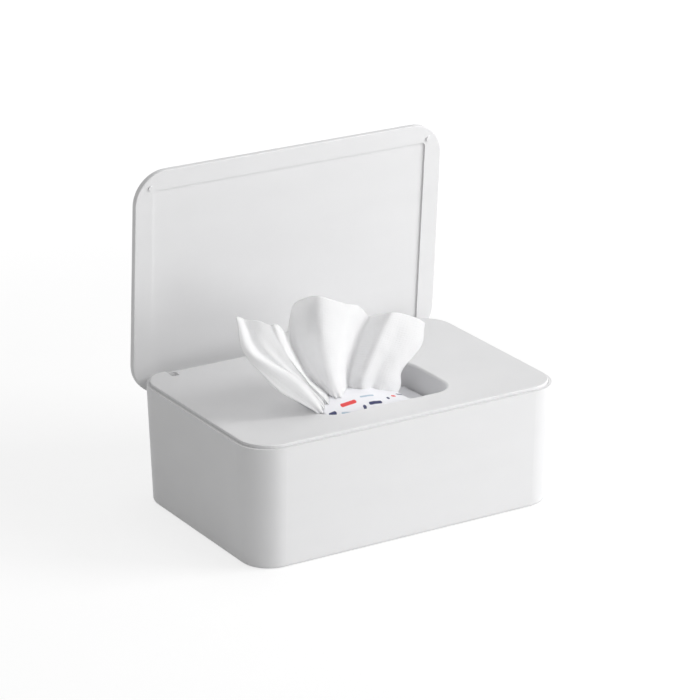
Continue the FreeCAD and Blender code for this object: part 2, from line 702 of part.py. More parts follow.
def make_pulled_wipe():
    """A wipe drawn up through the slot and fanned out in soft waves above the opening."""
    body = new_body("pulled_wipe")
    stations = [("tail", stack_top + size("tail_gap"), tent_x, size("tail_width")),
                ("gather", ridge_top + size("gather_rise"), tent_x, gather_w)]
    for name in ("fan", "skirt", "wing", "free_edge"):
        height, place_x = deck_top + size(f"{name}_rise"), -size(f"{name}_set_left")
        stations.append((name, height, place_x, size(f"{name}_width")))
    sections = []
    for name, height, place_x, across in stations:
        section = new_sketch(body, f"{name}_section", "XY_Plane", height, place_x, tent_y)
        wavy_ribbon(section, across, size(f"{name}_wave"))
        sections.append(section)
    cloth = body.newObject("PartDesign::AdditiveLoft", "fanned_cloth")
    cloth.Profile = sections[0]
    cloth.Sections = sections[1:]
    cloth.Ruled = True
    doc.recompute()

    rise, across = size("free_edge_rise"), size("free_edge_width")
    left = -size("free_edge_set_left") - across / 2
    top = rise + overrun
    edge = [(left + across * share, rise * height) for share, height in free_edge_shares]
    outline = [(left - overrun, edge[0][1]), *edge, (left + across + overrun, edge[-1][1]),
               (left + across + overrun, top), (left - overrun, top)]
    trim = new_sketch(body, "free_edge_outline", "XZ_Plane", along=deck_top)
    polygon(trim, outline)
    grow(body, "Pocket", "trimmed_edge", trim, depth, both_ways=True)
    return body


def wavy_ribbon(sketch, across, wave):
    """A ribbon pleated in flat-topped waves that lean to the front and to the rear in turn."""
    half = size("wipe_thickness") / 2
    crests = size("crest_count")
    flat = across * crest_share / crests
    step = (across - flat) / (crests - 1)
    front, rear = [], []
    for crest in range(int(crests.value)):
        middle = wave if crest % 2 else -wave
        start = step * crest - across / 2
        for x in (start, start + flat):
            front.append((x, middle - half))
            rear.append((x, middle + half))
    polygon(sketch, front + rear[::-1])


pieces = [make_body_shell(), make_deck_cover(), make_lid_shell(), make_film_pouch(), make_wipe_stack(),
          make_pulled_wipe()]
doc.recompute()

for item in doc.Objects:
    if "Invalid" in item.State or "Error" in item.State:
        raise RuntimeError(f"{item.Name} failed: {item.State}")
for piece in pieces:
    if piece.Shape.isNull() or not piece.Shape.isValid():
        raise RuntimeError(f"{piece.Label} has no valid shape")

os.makedirs("parts", exist_ok=True)
for piece in pieces:
    box = piece.Shape.optimalBoundingBox()
    print(f"{piece.Label}: {len(piece.Shape.Solids)} solid(s), volume {piece.Shape.Volume:.0f},",
          f"X {box.XMin:.1f}..{box.XMax:.1f}, Y {box.YMin:.1f}..{box.YMax:.1f},",
          f"Z {box.ZMin:.1f}..{box.ZMax:.1f}")
    piece.Shape.exportStep(os.path.join("parts", f"{piece.Label}.step"))
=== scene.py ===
"""The looks of a lidded countertop wipes box: its mouldings, the refill pack and the pulled-up wipe.

Metres, +Z up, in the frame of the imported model. Sizes that a maker would think of in millimetres
are written in millimetres and multiplied by MM.
"""

import math

import bmesh
import bpy
from bpy.props import FloatProperty, FloatVectorProperty, IntProperty, PointerProperty
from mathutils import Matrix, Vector, noise


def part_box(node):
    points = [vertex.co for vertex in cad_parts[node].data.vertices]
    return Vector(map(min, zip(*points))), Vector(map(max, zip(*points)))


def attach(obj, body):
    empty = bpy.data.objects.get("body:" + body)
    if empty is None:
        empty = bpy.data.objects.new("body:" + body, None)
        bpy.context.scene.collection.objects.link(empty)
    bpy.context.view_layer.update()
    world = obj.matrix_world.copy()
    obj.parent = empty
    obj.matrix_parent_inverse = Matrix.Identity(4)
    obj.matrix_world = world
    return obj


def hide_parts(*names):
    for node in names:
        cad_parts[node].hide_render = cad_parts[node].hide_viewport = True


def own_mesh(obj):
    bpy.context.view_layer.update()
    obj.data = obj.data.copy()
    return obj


bl_info = {
    "name": "Wipes box",
    "version": (1, 0, 0),
    "blender": (4, 5, 0),
    "location": "3D View > Sidebar > Wipes box",
    "description": "Dresses the frame of a lidded countertop wipes box",
    "category": "Object",
}

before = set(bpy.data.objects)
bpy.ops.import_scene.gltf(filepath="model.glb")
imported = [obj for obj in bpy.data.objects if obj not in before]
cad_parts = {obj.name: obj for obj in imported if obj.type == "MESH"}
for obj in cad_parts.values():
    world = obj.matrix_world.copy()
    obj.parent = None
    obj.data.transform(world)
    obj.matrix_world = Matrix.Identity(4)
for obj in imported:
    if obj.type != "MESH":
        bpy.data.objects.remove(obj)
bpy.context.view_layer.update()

MM = 0.001
pouch_low, pouch_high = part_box("film_pouch")
stack_low, stack_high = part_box("wipe_stack")
deck_low, deck_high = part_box("deck_cover")

# The part of the inner cover's opening that the film may fill. The film climbs from its edges over a
# short way. The peak round the wipe ends on the right, and low slack film goes on to the opening's edge.
PEAK_LEFT, PEAK_LEFT_TOP = -39.9 * MM, -37 * MM
PEAK_RIGHT, PEAK_RIGHT_TOP = 22 * MM, 16 * MM
PEAK_REAR, PEAK_REAR_TOP = 2 * MM, -15 * MM
FILM_FRONT, PEAK_FRONT_TOP, SLACK_FRONT_TOP = -40.8 * MM, -37.4 * MM, -38 * MM
SLACK_LEFT, SLACK_LEFT_TOP = 16 * MM, 24 * MM
SLACK_RIGHT, SLACK_RIGHT_TOP = 40 * MM, 38 * MM
SLACK_REAR, SLACK_REAR_TOP = 9 * MM, 3 * MM
SLACK_SHARE = 0.42
# The crest starts behind the front edge, rises over a depth and falls off to the right. Its height is a
# share of the bulge: the share at the middle of the box, and the least and the most of it.
CREST_START, CREST_DEPTH, CREST_FALL = -38 * MM, 14 * MM, 21 * MM
CREST_MIDDLE, CREST_LEAST, CREST_MOST = 0.62, -0.3, 0.95

# The refill pack before it is opened: its flat top over its foot, the length of a crimped end, and the
# way over which the pack fills out behind it
PACK_HEIGHT = 47 * MM
CRIMP_LENGTH = 7 * MM
CRIMP_TAPER = 17 * MM
CRIMP_THICKNESS = 0.6 * MM
CRIMP_PLEAT_DEPTH = 0.9 * MM
PACK_ROUNDNESS = 0.75
FILM_CUTS = 95
# The film's crease-free top lies this far under the top of the CAD's film
PEAK_DROP = 1.6 * MM

# How uneven the folded wipes are, at their side edges and on their faces
STACK_SIDE_RIPPLE = 0.5 * MM
STACK_FACE_RIPPLE = 0.10 * MM

# The two whites between which the wipe's cloth is cloudy, and how far light spreads in it
CLOTH_LIGHT = (0.95, 0.95, 0.955, 1)
CLOTH_SHADE = (0.91, 0.91, 0.92, 1)
CLOTH_SPREAD = 0.008

# Floor: half its side, its two greys, its glow to the camera, the share of that glow close to the box,
# and what the share gains further off, between two distances
FLOOR_HALF = 6
FLOOR_LIGHT, FLOOR_SHADE = (0.80, 0.80, 0.80, 1), (0.77, 0.77, 0.77, 1)
FLOOR_GLOW = 1.3
GLOW_NEAR, GLOW_GAIN = 0.55, 0.45
GLOW_START, GLOW_END = 0.3, 1.2

# The studio's lamps: place and side of each
KEY_LAMP = (1.3, -0.8, 0.9), 0.8
FRONT_LAMP = (1.0, -1.8, 0.35), 0.8
TOP_LAMP = (0.2, 0.4, 1.6), 1.0

# The photograph's view, fitted to the box's edges: the studio's camera stands there, and the folds of
# the pulled wipe are placed from there
VIEW_TURN = math.radians(-31.617)
VIEW_TILT = math.radians(20.2655)
VIEW_DISTANCE = 1.810
VIEW_AIM = (0.008, 0.0121, 0.07925)
VIEW_LENS = 174.86
SENSOR_WIDTH = 36
PICTURE_WIDTH = 700

# The folds of the pulled wipe from its left edge to its right edge. Each has four places: where it
# leaves the film, two on its way up and one at the free edge. A place is chosen: pixels to the
# right, pixels down and, as a guess, its y in millimetres.
WIPE_FOLDS = {
    "outline": ((317, 413, -35), (279, 391, -35), (248, 358, -30), (236, 317, -22)),
    "hem_ridge": ((320, 409, -35), (291, 378, -35), (255, 356, -31), (238, 317.5, -21)),
    "hem_back": ((322, 405, -33), (294, 377, -31), (259, 353, -25), (242, 318.5, -16)),
    "wing_band": ((323, 404, -32), (298, 378, -30.5), (265, 350, -26), (250, 320, -18.5)),
    "wing_face": ((325, 403, -31), (301, 379, -30), (273, 349, -26.5), (259, 321, -21)),
    "wing_dip": ((326, 402, -30.5), (304, 380, -29.5), (283, 352, -26.5), (270, 325.5, -22)),
    "crease": ((328, 401, -31), (307, 381, -30), (290, 356, -26.5), (277.5, 324, -22)),
    "back_fold": ((329, 399, -27), (309, 379, -20), (294.5, 355, -13), (287, 332, -10)),
    "plume_left": ((330, 397, -24), (309, 376, -17), (293.5, 347, -10.5), (290.5, 321, -8)),
    "plume_side": ((332, 398, -26), (314, 375, -20), (299, 340, -14), (295, 303.5, -11)),
    "plume_band": ((335, 398, -28), (320, 374, -23.5), (309, 337, -18.5), (306, 298, -15.5)),
    "plume_ridge": ((338, 396, -29), (328, 372, -27.5), (320, 336, -25), (319, 297, -22)),
    "plume_face": ((341, 394, -27.5), (334, 370, -26.5), (331, 336, -24.5), (333, 300, -21)),
    "plume_right": ((344, 391, -24), (339, 368, -22), (342, 336, -19), (348, 304, -15.5)),
    "plume_edge": ((347, 390, -20.5), (344, 366, -16), (350, 336, -12), (360, 307, -8.5)),
    "deep_valley": ((349, 389, -19), (350, 366, -13), (358, 338, -8), (368, 315, -5)),
    "lobe_left": ((353, 389, -22), (357, 366, -17.5), (368, 338, -13), (378, 312.5, -9.5)),
    "lobe_ridge": ((361, 388, -24.5), (367, 366, -22.5), (379, 338, -19), (390, 311.5, -15.5)),
    "lobe_fold": ((374, 387, -23.5), (380, 366, -21.5), (393, 341, -18.5), (402, 314.5, -15)),
    "lobe_right": ((387, 389, -24.5), (393, 368, -22), (407, 345, -17.5), (415, 319, -13.5)),
    "right_edge": ((399, 391, -22), (402, 371, -19), (419, 347, -14.5), (424, 324, -11)),
}

# The wipe's tail inside the pack, in millimetres: where it starts on the left, how wide it is, its y,
# how far its zigzag swings to each side, and its height
TAIL_LEFT = -21
TAIL_WIDTH = 22
TAIL_DEEP = -20
TAIL_SWING = 2
TAIL_HEIGHT = 48
PLEAT_COUNT = 17

# Shares of the way up the wipe: where the gathers are full and where they have opened, where a last
# trace of them ends, and where the crumples begin and are full
GATHER_FULL, GATHER_OPEN, GATHER_GONE = 0.12, 0.29, 0.80
CRUMPLE_START, CRUMPLE_FULL = 0.30, 0.70
# The size of the large and the small crumples, and the waves of the free edge: how high they are and
# how far up the wipe they start
LARGE_CRUMPLE, SMALL_CRUMPLE = 15 * MM, 6 * MM
EDGE_WAVE = 0.8 * MM
EDGE_WAVE_START = 0.8

# Printed marks on the refill film: colour, start and end of each stroke, and its half width
FILM_MARKS = [
    ("navy", (-34, -37), (-31, -36.6), 0.9),
    ("grey_blue", (-27, -37.4), (-20, -38), 0.45),
    ("red", (-25, -33.8), (-17, -33), 1.0),
    ("navy", (-13, -36.8), (-13, -36.8), 1.0),
    ("navy", (-9, -35.8), (-3, -36.2), 0.8),
    ("grey_blue", (-12, -31), (-5, -31.6), 0.5),
    ("navy", (3, -34), (3, -34), 0.9),
    ("red", (7, -32), (8, -32), 0.9),
    ("navy", (12, -28.5), (14.5, -28.5), 0.8),
]


# Settings that a user would change

class MouldingSettings(bpy.types.PropertyGroup):
    colour: FloatVectorProperty(
        name="Colour", description="Colour of the moulded plastic", subtype="COLOR", size=3,
        min=0, max=1, default=(0.80, 0.80, 0.805))
    roughness: FloatProperty(
        name="Roughness", description="How matt the mouldings are", subtype="FACTOR",
        min=0, max=1, default=0.46)
    grain_size: FloatProperty(
        name="Grain size", description="Size of the tool's fine grain", subtype="DISTANCE",
        unit="LENGTH", default=0.5 * MM)
    grain_depth: FloatProperty(
        name="Grain depth", description="Depth of the tool's fine grain", subtype="DISTANCE",
        unit="LENGTH", default=0.01 * MM)


class FilmSettings(bpy.types.PropertyGroup):
    colour: FloatVectorProperty(
        name="Film", description="Colour of the unprinted film", subtype="COLOR", size=3,
        min=0, max=1, default=(0.84, 0.84, 0.87))
    navy: FloatVectorProperty(
        name="Navy", description="Dark ink of the marks", subtype="COLOR", size=3,
        min=0, max=1, default=(0.02, 0.025, 0.10))
    red: FloatVectorProperty(
        name="Red", description="Bright ink of the marks", subtype="COLOR", size=3,
        min=0, max=1, default=(0.72, 0.05, 0.05))
    grey_blue: FloatVectorProperty(
        name="Grey blue", description="Pale ink of the marks", subtype="COLOR", size=3,
        min=0, max=1, default=(0.42, 0.52, 0.62))
    wrinkle_depth: FloatProperty(
        name="Wrinkle depth", description="How deep the film's creases are", subtype="DISTANCE",
        unit="LENGTH", default=0.5 * MM)
    bulge: FloatProperty(
        name="Bulge", description="How far the film stands up round the wipe", subtype="DISTANCE",
        unit="LENGTH", default=6.5 * MM)


class StackSettings(bpy.types.PropertyGroup):
    count: IntProperty(
        name="Wipes", description="How many folded wipes lie in the pack", min=2, default=28)
    cloth: FloatProperty(
        name="Cloth", description="Thickness of one layer of wipe", subtype="DISTANCE",
        unit="LENGTH", default=0.45 * MM)


class WipeSettings(bpy.types.PropertyGroup):
    cut_width: FloatProperty(
        name="Width", description="Width of the wipe, laid flat", subtype="DISTANCE",
        unit="LENGTH", default=0.166)
    drawn_length: FloatProperty(
        name="Drawn length", description="How much of the wipe has been drawn up",
        subtype="DISTANCE", unit="LENGTH", default=0.080)
    cloth: FloatProperty(
        name="Cloth", description="Thickness of the wipe", subtype="DISTANCE",
        unit="LENGTH", default=0.45 * MM)
    pleat_depth: FloatProperty(
        name="Pleat depth", description="Depth of the small pleats at the gather",
        subtype="DISTANCE", unit="LENGTH", default=2.4 * MM)
    seed: IntProperty(name="Seed", description="Picks the pattern of the crumples", min=1, default=3)
    crumple_depth: FloatProperty(
        name="Crumple depth", description="Depth of the soft crumples", subtype="DISTANCE",
        unit="LENGTH", default=0.8 * MM)


class StudioSettings(bpy.types.PropertyGroup):
    azimuth: FloatProperty(
        name="Azimuth", description="Turn of the camera round the box", unit="ROTATION",
        default=VIEW_TURN)
    elevation: FloatProperty(
        name="Elevation", description="Angle of the camera above the table", unit="ROTATION",
        default=VIEW_TILT)
    distance: FloatProperty(
        name="Distance", description="From the camera to the point it looks at",
        subtype="DISTANCE", unit="LENGTH", default=VIEW_DISTANCE)
    aim: FloatVectorProperty(
        name="Aim", description="The point that the camera looks at", subtype="TRANSLATION",
        unit="LENGTH", size=3, default=VIEW_AIM)
    lens: FloatProperty(
        name="Lens", description="Focal length of the camera, in millimetres", default=VIEW_LENS)
    key_power: FloatProperty(
        name="Key lamp", description="Power of the soft lamp on the right", unit="POWER", default=17.5)
    front_power: FloatProperty(
        name="Front lamp", description="Power of the low lamp at the front", unit="POWER", default=11.5)
    top_power: FloatProperty(
        name="Top lamp", description="Power of the lamp overhead", unit="POWER", default=3.6)
    ambient: FloatProperty(
        name="Ambient", description="Brightness of the pale room", default=0.385)


class WipesBoxSettings(bpy.types.PropertyGroup):
    moulding: PointerProperty(type=MouldingSettings)
    film: PointerProperty(type=FilmSettings)
    stack: PointerProperty(type=StackSettings)
    wipe: PointerProperty(type=WipeSettings)
    studio: PointerProperty(type=StudioSettings)


# Materials

class Value:
    """A number that a shader works out; a sum with it adds a Math node."""

    def __init__(self, shader, socket):
        self.shader = shader
        self.socket = socket

    def maths(self, operation, *numbers):
        return self.shader.add("ShaderNodeMath", {"operation": operation}, *numbers)

    def __add__(self, other):
        return self.maths("ADD", self, other)

    def __sub__(self, other):
        return self.maths("SUBTRACT", self, other)

    def __rsub__(self, other):
        return self.maths("SUBTRACT", other, self)

    def __mul__(self, other):
        return self.maths("MULTIPLY", self, other)

    def __truediv__(self, other):
        return self.maths("DIVIDE", self, other)

    __radd__ = __add__
    __rmul__ = __mul__

    def root(self):
        return self.maths("SQRT", self)

    def least(self, other):
        return self.maths("MINIMUM", self, other)

    def most(self, other):
        return self.maths("MAXIMUM", self, other)

    def ramp(self, low, high):
        """0 up to low and 1 from high, with a smooth step between; low may be the greater."""
        return self.shader.add("ShaderNodeMapRange", {"interpolation_type": "SMOOTHSTEP"},
                               self, low, high)


class Shader:
    """A material whose nodes all come from one method, ending in its Principled shader."""

    def __init__(self, name):
        self.material = bpy.data.materials.new(name)
        self.material.use_nodes = True
        self.tree = self.material.node_tree
        self.surface = self.tree.nodes["Principled BSDF"]

    def add(self, kind, settings, *values, output=0, **named):
        """A node with its settings, then the values or links of its sockets, in order or by name."""
        node = self.tree.nodes.new(kind)
        for setting, choice in settings.items():
            setattr(node, setting, choice)
        sockets = [socket for socket in node.inputs if socket.enabled]
        for socket, value in zip(sockets, values):
            self.feed(socket, value)
        for name, value in named.items():
            title = name.replace("_", " ").title()
            self.feed(next(socket for socket in sockets if socket.name == title), value)
        outputs = [socket for socket in node.outputs if socket.enabled]
        return Value(self, outputs[output])

    def feed(self, socket, value):
        if isinstance(value, Value):
            self.tree.links.new(value.socket, socket)
        else:
            socket.default_value = value

    def set(self, **named):
        """Values or links for the Principled shader's own sockets."""
        for name, value in named.items():
            title = name.replace("_", " ").title().replace("Ior", "IOR")
            self.feed(self.surface.inputs[title], value)

    def place(self, source="Object"):
        """The object's own coordinates, or its UV map."""
        names = ["Generated", "Normal", "UV", "Object"]
        return self.add("ShaderNodeTexCoord", {}, output=names.index(source))

    def axes(self, place):
        """The three numbers of a place."""
        node = self.tree.nodes.new("ShaderNodeSeparateXYZ")
        self.feed(node.inputs[0], place)
        return [Value(self, socket) for socket in node.outputs]

    def stretch(self, place, scale):
        return self.add("ShaderNodeMapping", {}, place, scale=scale)

    def noise(self, place, scale, detail=2.0, roughness=0.5):
        return self.add("ShaderNodeTexNoise", {}, place, scale=scale, detail=detail,
                        roughness=roughness)

    def mix(self, share, first, second):
        """A colour between two colours."""
        return self.add("ShaderNodeMix", {"data_type": "RGBA"}, share, first, second)

    def bump(self, height, distance, strength=1.0):
        return self.add("ShaderNodeBump", {}, strength=strength, distance=distance, height=height)


def opaque(colour, share=1.0):
    """A colour with its alpha, made darker by a share."""
    return (*(part * share for part in colour), 1.0)


def moulded_plastic(settings):
    """Satin white plastic: a fine tool grain, faint flow marks, and scuffs along the foot."""
    shader = Shader("white_moulding")
    place = shader.place()
    grain = shader.noise(place, 1 / settings.grain_size, detail=1.0)
    mottle = shader.noise(place, 1 / (14 * MM), detail=3.0)
    flow = shader.noise(shader.stretch(place, (1, 1, 4)), 1 / (55 * MM), detail=2.0)
    height = shader.axes(place)[2]
    foot = height.ramp(6 * MM, 0.5 * MM)
    scuffs = shader.noise(shader.stretch(place, (1, 1, 6)), 1 / (2.5 * MM), detail=4.0).ramp(0.5, 0.72)
    worn = foot * scuffs
    tone = (flow * 0.5 + mottle * 0.3 + worn * 0.9).least(1.0)
    shader.set(
        base_color=shader.mix(tone, opaque(settings.colour, 1.02), opaque(settings.colour, 0.955)),
        roughness=settings.roughness + (mottle - 0.5) * 0.16 + (grain - 0.5) * 0.10 + worn * 0.2,
        normal=shader.bump(grain + flow * 3.0, settings.grain_depth),
        ior=1.47,
    )
    return shader.material


def stroke(x, y, start, end, half_width, edge=0.18 * MM):
    """A mask of a round-ended stroke between two places on the film."""
    along_x, along_y = end[0] - start[0], end[1] - start[1]
    length = along_x ** 2 + along_y ** 2
    off_x, off_y = x - start[0], y - start[1]
    if length:
        share = ((off_x * along_x + off_y * along_y) / length).most(0.0).least(1.0)
        off_x, off_y = off_x - share * along_x, off_y - share * along_y
    distance = (off_x * off_x + off_y * off_y).root()
    return distance.ramp(half_width + edge, half_width - edge)


def printed_film(settings):
    """Glossy white film with small crinkles and a few plain printed strokes."""
    shader = Shader("printed_film")
    place = shader.place()
    crinkle = shader.noise(place, 1 / (5 * MM), detail=4.0, roughness=0.6)
    haze = shader.noise(place, 1 / (18 * MM), detail=2.0)
    x, y, _ = shader.axes(place)
    colour = shader.mix(haze, opaque(settings.colour, 1.03), opaque(settings.colour, 0.95))
    inked = None
    for ink, start, end, half_width in FILM_MARKS:
        start, end = [[part * MM for part in place] for place in (start, end)]
        mark = stroke(x, y, start, end, half_width * MM)
        colour = shader.mix(mark, colour, opaque(getattr(settings, ink)))
        inked = mark if inked is None else inked.most(mark)
    shader.set(
        base_color=colour,
        roughness=0.30 + haze * 0.10 + inked * 0.08,
        normal=shader.bump(crinkle, 0.25 * MM),
        ior=1.5,
    )
    return shader.material


def nonwoven(settings):
    """Soft white nonwoven: crossed fibres with rows of fine embossed dots."""
    shader = Shader("nonwoven_wipe")
    cloth = shader.place("UV")
    fibres = shader.noise(shader.stretch(cloth, (1, 9, 1)), 1 / (4 * MM), detail=4.0, roughness=0.65)
    cross = shader.noise(shader.stretch(cloth, (9, 1, 1)), 1 / (5 * MM), detail=3.0, roughness=0.6)
    emboss = shader.add("ShaderNodeTexVoronoi", {"feature": "SMOOTH_F1"}, cloth,
                        scale=1 / (1.6 * MM), randomness=0.25)
    cloudy = shader.noise(cloth, 1 / (16 * MM), detail=2.0)
    height = fibres * 0.6 + cross * 0.4 + emboss.ramp(0.1, 0.6) * 0.8
    shader.set(
        base_color=shader.mix(cloudy, CLOTH_LIGHT, CLOTH_SHADE),
        roughness=0.82 + fibres * 0.12,
        normal=shader.bump(height, 0.08 * MM),
        sheen_weight=0.25,
        sheen_roughness=0.5,
        subsurface_weight=0.6,
        subsurface_radius=(CLOTH_SPREAD, CLOTH_SPREAD, CLOTH_SPREAD),
        subsurface_scale=1.0,
    )
    return shader.material


# Shapes

def new_piece(name, shape, material, body, slot, *nodes):
    """A finished mesh as an object that rides on a body and stands for CAD nodes."""
    mesh = bpy.data.meshes.new(name)
    shape.to_mesh(mesh)
    shape.free()
    mesh.materials.append(material)
    mesh.shade_smooth()
    piece = bpy.data.objects.new(name, mesh)
    bpy.context.scene.collection.objects.link(piece)
    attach(piece, body)
    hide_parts(*nodes)
    return piece


def smooth(low, high, number):
    """0 up to low and 1 from high, with a smooth step between; low may be the greater."""
    share = min(max((number - low) / (high - low), 0.0), 1.0)
    return share * share * (3 - 2 * share)


def along(points, place):
    """A point on a smooth curve through the points, at a place counted in points."""
    last = len(points) - 1
    index = min(int(place), last - 1)
    step = place - index
    start, end = points[index], points[index + 1]
    before = points[index - 1] if index else start * 2 - end
    after = points[index + 2] if index + 2 <= last else end * 2 - start
    bend = before * 2 - start * 5 + end * 4 - after
    twist = start * 3 - before - end * 3 + after
    return (start * 2 + (end - before) * step + bend * step ** 2 + twist * step ** 3) / 2


def film_height(x, y):
    """How high the film stands inside the opening, over the pack's flat top, as a share of its rise."""
    peak = smooth(PEAK_LEFT, PEAK_LEFT_TOP, x) * smooth(PEAK_RIGHT, PEAK_RIGHT_TOP, x)
    peak *= smooth(FILM_FRONT, PEAK_FRONT_TOP, y)
    peak *= smooth(PEAK_REAR, PEAK_REAR_TOP, y)
    slack = smooth(SLACK_LEFT, SLACK_LEFT_TOP, x) * smooth(SLACK_RIGHT, SLACK_RIGHT_TOP, x)
    slack *= smooth(FILM_FRONT, SLACK_FRONT_TOP, y) * smooth(SLACK_REAR, SLACK_REAR_TOP, y)
    return max(peak, SLACK_SHARE * slack)


def film_crest(x, y):
    """The film's climb to the wipe: 0 along the opening's front edge, and less to the right."""
    back = min(max((y - CREST_START) / CREST_DEPTH, 0), 1)
    side = max(CREST_LEAST, min(CREST_MOST, CREST_MIDDLE - x / CREST_FALL))
    return side * back * (2 - back)


def film_shape(settings):
    """A pillow of film with crimped ends, drawn up into the opening round the wipe."""
    shape = bmesh.new()
    bmesh.ops.create_cube(shape, size=2)
    bmesh.ops.subdivide_edges(shape, edges=shape.edges, cuts=FILM_CUTS, use_grid_fill=True)
    middle, half = (pouch_low + pouch_high) / 2, (pouch_high - pouch_low) / 2
    flat_top = pouch_low.z + PACK_HEIGHT
    half.z = (flat_top - pouch_low.z) / 2
    middle.z = pouch_low.z + half.z
    for vertex in shape.verts:
        across, deep, tall = vertex.co
        x = across * half.x
        from_end = half.x - abs(x)
        full = smooth(CRIMP_LENGTH, CRIMP_LENGTH + CRIMP_TAPER, from_end)
        y = deep * half.y * (1 - PACK_ROUNDNESS + PACK_ROUNDNESS * math.sqrt(1 - tall ** 2 / 2))
        z = tall * half.z * (1 - PACK_ROUNDNESS + PACK_ROUNDNESS * math.sqrt(1 - deep ** 2 / 2))
        pleats = math.sin(deep * 46) * CRIMP_PLEAT_DEPTH * full * (1 - full) * 4
        z = z * full + (CRIMP_THICKNESS + pleats) * tall * (1 - full)
        y *= 1 - 0.03 * (1 - full)
        crease = noise.fractal(Vector((x, y, z)) / (16 * MM), 1.0, 2.0, 4)
        z += crease * settings.wrinkle_depth * full * (0.4 if tall < 0 else 1.0)
        z += middle.z
        rise = smooth(0.55, 1.0, tall) * film_height(x, y)
        if rise > 0:
            top = pouch_high.z - PEAK_DROP + settings.bulge * film_crest(x, y)
            top += crease * settings.wrinkle_depth
            z += (top - z) * rise
        vertex.co = (x, y, max(z, pouch_low.z))
    bmesh.ops.recalc_face_normals(shape, faces=shape.faces)
    return shape


def stack_shape(settings):
    """Folded wipes, one over the other, with their folds to the front and to the rear in turn."""
    shape = bmesh.new()
    half, middle = (stack_high - stack_low) / 2, (stack_high + stack_low) / 2
    pitch = (stack_high.z - stack_low.z) / settings.count
    bend = pitch / 2 - settings.cloth
    for number in range(settings.count):
        side = 1 if number % 2 else -1
        made = bmesh.ops.create_grid(shape, x_segments=10, y_segments=26, size=1)["verts"]
        centre = stack_low.z + pitch * (number + 0.5)
        for vertex in made:
            flat = vertex.co.copy()
            turn = (flat.y + 1) / 2
            length = half.y * 2 - bend - settings.cloth
            straight = length / (2 * length + math.pi * bend)
            if turn < straight:
                y, z = length * (turn / straight), -bend
            elif turn > 1 - straight:
                y, z = length * ((1 - turn) / straight), bend
            else:
                angle = math.pi * ((turn - straight) / (1 - 2 * straight) - 0.5)
                y, z = length + bend * math.cos(angle), bend * math.sin(angle)
            ripple = noise.noise(Vector((flat.x * 3, y * 60, number * 3.7)))
            vertex.co = (middle.x + flat.x * (half.x - STACK_SIDE_RIPPLE * abs(ripple)),
                         side * (y - half.y + settings.cloth) + middle.y,
                         centre + z + ripple * STACK_FACE_RIPPLE)
    bmesh.ops.solidify(shape, geom=shape.faces[:], thickness=-settings.cloth / 2)
    bmesh.ops.recalc_face_normals(shape, faces=shape.faces)
    return shape


def towards_camera(turn, tilt):
    """The direction from the point that the camera looks at to the camera."""
    return Vector((math.sin(turn) * math.cos(tilt), -math.cos(turn) * math.cos(tilt), math.sin(tilt)))


def seen_at(right, down, deep):
    """The place, in whole millimetres, that the picture shows at a pixel, where y is deep."""
    back = towards_camera(VIEW_TURN, VIEW_TILT)
    eye = Vector(VIEW_AIM) + back * VIEW_DISTANCE
    middle = PICTURE_WIDTH / 2
    reach = PICTURE_WIDTH * VIEW_LENS / SENSOR_WIDTH
    ray = (-back).to_track_quat("-Z", "Y") @ Vector((right - middle, middle - down, -reach))
    place = eye + ray * ((deep * MM - eye.y) / ray.y)
    return Vector([round(part / MM) for part in place])


def wipe_rows():
    """Five rows of places across the pulled wipe, from its tail inside the pack to its free edge."""
    rows = [[], [], [], [], []]
    last = len(WIPE_FOLDS) - 1
    for number, places in enumerate(WIPE_FOLDS.values()):
        swing = TAIL_SWING if number % 2 else -TAIL_SWING
        tail = Vector((TAIL_LEFT + TAIL_WIDTH * number / last, TAIL_DEEP + swing, TAIL_HEIGHT))
        points = [tail] + [seen_at(*place) for place in places]
        for row, point in zip(rows, points):
            row.append(point)
    return rows


def wipe_place(settings, rows, across, up):
    """A place on the pulled wipe, from its left edge to its right and from its tail to its free edge."""
    column = [along(row, across * (len(row) - 1)) for row in rows]
    place = along(column, up * (len(column) - 1)) * MM
    gathered = smooth(GATHER_OPEN, GATHER_FULL, up) + 0.10 * smooth(GATHER_GONE, GATHER_OPEN, up)
    phase = across * 2 * math.pi * PLEAT_COUNT + 0.8 * math.sin(across * 9)
    pleat = math.sin(phase) * settings.pleat_depth
    place.y += pleat * gathered
    place.x += pleat * 0.4 * gathered
    free = smooth(CRUMPLE_START, CRUMPLE_FULL, up)
    crumple = noise.noise_vector(place / LARGE_CRUMPLE) + noise.noise_vector(place / SMALL_CRUMPLE) * 0.3
    place += crumple * settings.crumple_depth * free
    place.z += noise.noise(Vector((across * 14, 3.1, 0))) * EDGE_WAVE * smooth(EDGE_WAVE_START, 1.0, up)
    return place


def wipe_shape(settings):
    """One sheet, gathered where it leaves the film and fanned out in folds over the opening."""
    noise.seed_set(settings.seed)
    rows = wipe_rows()
    shape = bmesh.new()
    bmesh.ops.create_grid(shape, x_segments=190, y_segments=76, size=1)
    layer = shape.loops.layers.uv.new("cloth")
    for face in shape.faces:
        for loop in face.loops:
            share = (loop.vert.co + Vector((1, 1, 0))) / 2
            loop[layer].uv = (share.x * settings.cut_width, share.y * settings.drawn_length)
    for vertex in shape.verts:
        share = (vertex.co + Vector((1, 1, 0))) / 2
        vertex.co = wipe_place(settings, rows, share.x, share.y)
    return shape


# Operators

class MouldingOperator(bpy.types.Operator):
    """Give the box, the inner cover and the lid their moulded plastic"""
    bl_idname = "wipes_box.mouldings"
    bl_label = "Finish the mouldings"

    def execute(self, context):
        material = moulded_plastic(context.scene.wipes_box.moulding)
        for node in ("body_shell", "deck_cover", "lid_shell"):
            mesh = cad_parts[node].data
            mesh.materials.clear()
            mesh.materials.append(material)
        return {"FINISHED"}


